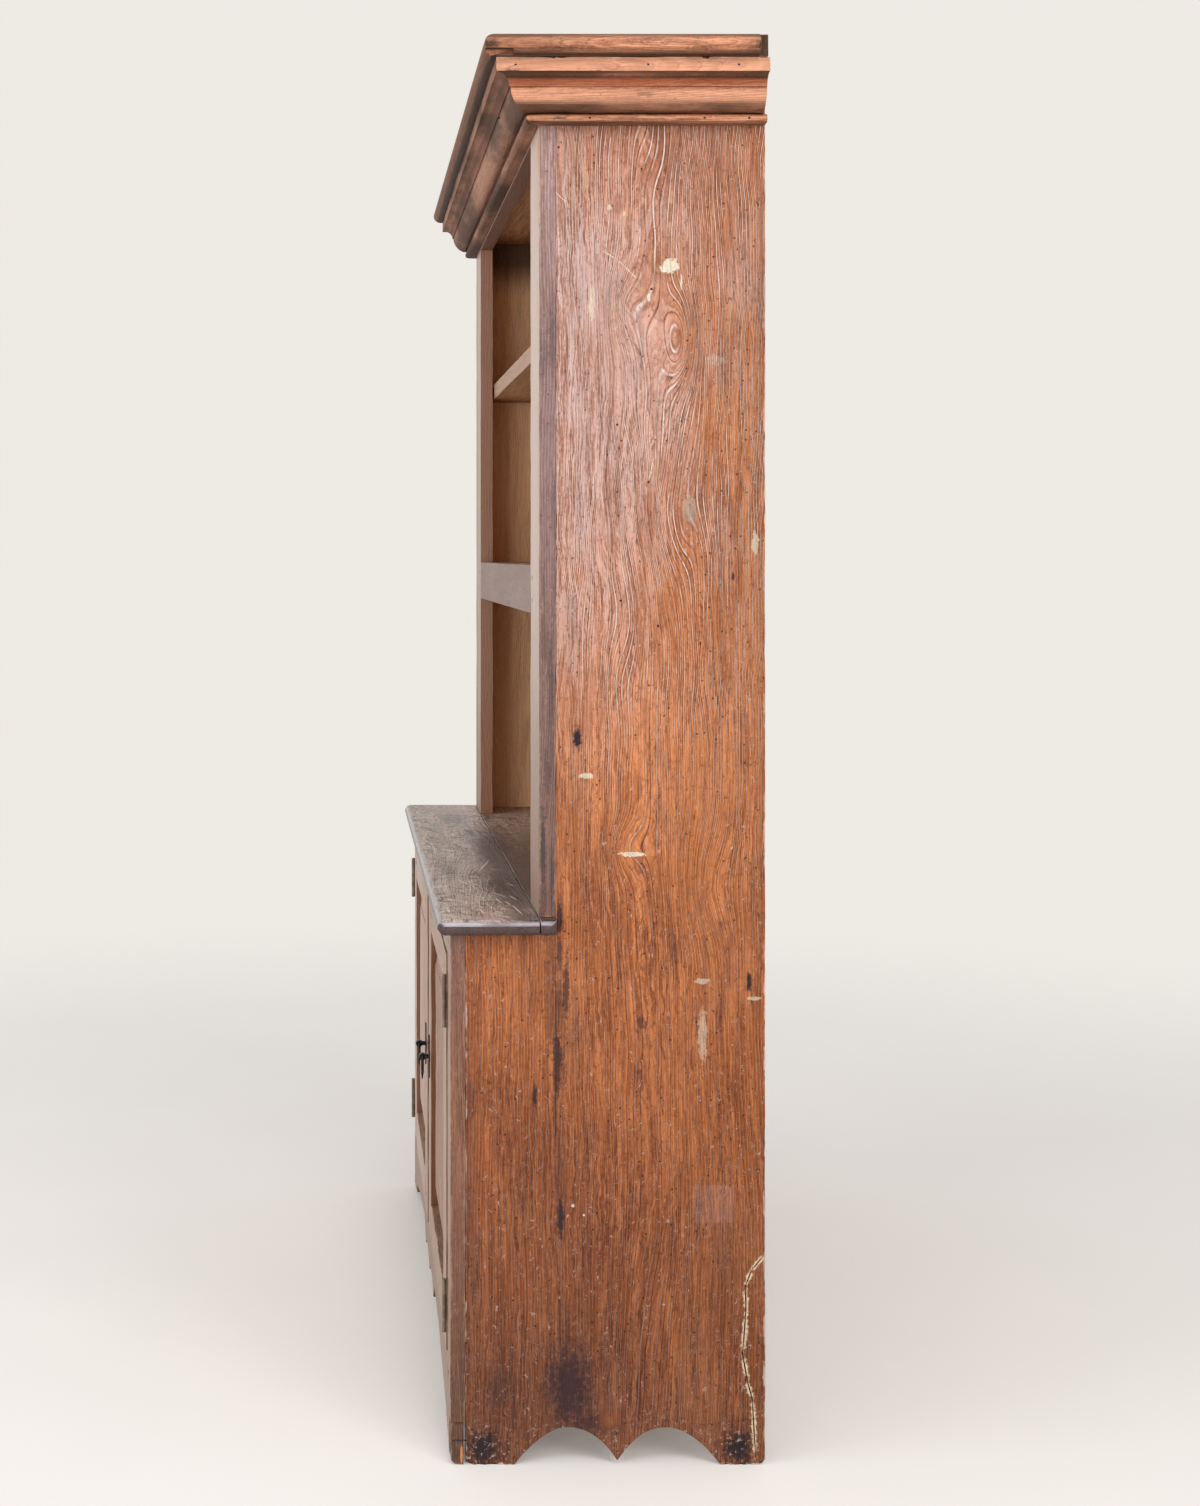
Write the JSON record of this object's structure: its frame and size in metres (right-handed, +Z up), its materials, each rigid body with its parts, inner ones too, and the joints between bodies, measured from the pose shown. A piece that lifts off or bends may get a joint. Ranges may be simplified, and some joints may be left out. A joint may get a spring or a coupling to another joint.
{
  "type": "step-back cupboard",
  "caption": "Tall step-back cupboard in aged softwood: open shelves under a moulded cornice, set back above a low cupboard with panelled doors and iron drop pulls.",
  "frame": {"origin": "on the floor, in the middle of the box round the whole cupboard, seen from above", "axes": "+X to the right seen from the front (the right side board), +Y to the back, which stands against the wall, +Z up"},
  "size_m": [1.502, 0.4842, 2.08],
  "materials": {
    "side_wood": "aged, worn and waxed softwood",
    "frame_wood": "faded, dry softwood",
    "counter_wood": "grey-brown, scratched, shiny on its round edge",
    "cornice_wood": "reddish brown, worn along its edges",
    "inner_wood": "dark, dull softwood",
    "back_wood": "rough, dark softwood",
    "door_wood": "faded, dry softwood",
    "panel_wood": "faded, greyish softwood",
    "peg_wood": "dry hardwood",
    "iron": "black wrought iron"
  },
  "bodies": {
    "carcass": {"side_left": "side_wood", "side_right": "side_wood", "back_board_1": "back_wood", "back_board_2": "back_wood", "back_board_3": "back_wood", "back_board_4": "back_wood", "back_board_5": "back_wood", "bottom_board": "inner_wood", "inner_shelf": "inner_wood", "counter_front_board": "counter_wood", "counter_back_board": "counter_wood", "middle_shelf": "inner_wood", "upper_shelf": "inner_wood", "ceiling_board": "inner_wood", "top_board": "cornice_wood", "rear_batten": "back_wood", "crown_front": "cornice_wood", "crown_left": "cornice_wood", "crown_right": "cornice_wood", "bead_front": "cornice_wood", "bead_left": "cornice_wood", "bead_right": "cornice_wood", "upper_stile_left": "frame_wood", "upper_stile_right": "frame_wood", "head_rail": "frame_wood", "mid_rail": "frame_wood", "lower_stile_left": "frame_wood", "lower_stile_right": "frame_wood", "foot_block_right": "frame_wood", "lower_rail": "frame_wood", "apron": "frame_wood", "door_stops": "inner_wood", "frame_pegs": "peg_wood", "hinge_frame_leaves_left": "iron", "hinge_frame_leaves_right": "iron", "hinge_pins_left": "iron", "hinge_pins_right": "iron"},
    "door_left": {"door_left_hinge_stile": "door_wood", "door_left_meeting_stile": "door_wood", "door_left_top_rail": "door_wood", "door_left_bottom_rail": "door_wood", "door_left_panel": "panel_wood", "door_left_pegs": "peg_wood", "hinge_door_leaves_left": "iron", "pull_plate_left": "iron", "pull_eye_left": "iron"},
    "door_right": {"door_right_hinge_stile": "door_wood", "door_right_meeting_stile": "door_wood", "door_right_top_rail": "door_wood", "door_right_bottom_rail": "door_wood", "door_right_panel": "panel_wood", "door_right_pegs": "peg_wood", "hinge_door_leaves_right": "iron", "pull_plate_right": "iron", "pull_eye_right": "iron"},
    "pull_left": {"pull_left": "iron"},
    "pull_right": {"pull_right": "iron"}
  },
  "joints": [
    {"name": "door_left_swing", "type": "hinge", "parent": "carcass", "child": "door_left", "pos_m": [-0.5885, -0.2264, 0.435], "axis": [0, 0, -1], "range_deg": [0, 110]},
    {"name": "door_right_swing", "type": "hinge", "parent": "carcass", "child": "door_right", "pos_m": [0.5885, -0.2248, 0.435], "axis": [0, 0, 1], "range_deg": [0, 110]},
    {"name": "pull_left_swing", "type": "hinge", "parent": "door_left", "child": "pull_left", "pos_m": [-0.049, -0.2361, 0.448], "axis": [-1, 0, 0], "range_deg": [-8, 100]},
    {"name": "pull_right_swing", "type": "hinge", "parent": "door_right", "child": "pull_right", "pos_m": [0.049, -0.2345, 0.448], "axis": [-1, 0, 0], "range_deg": [-8, 100]}
  ]
}
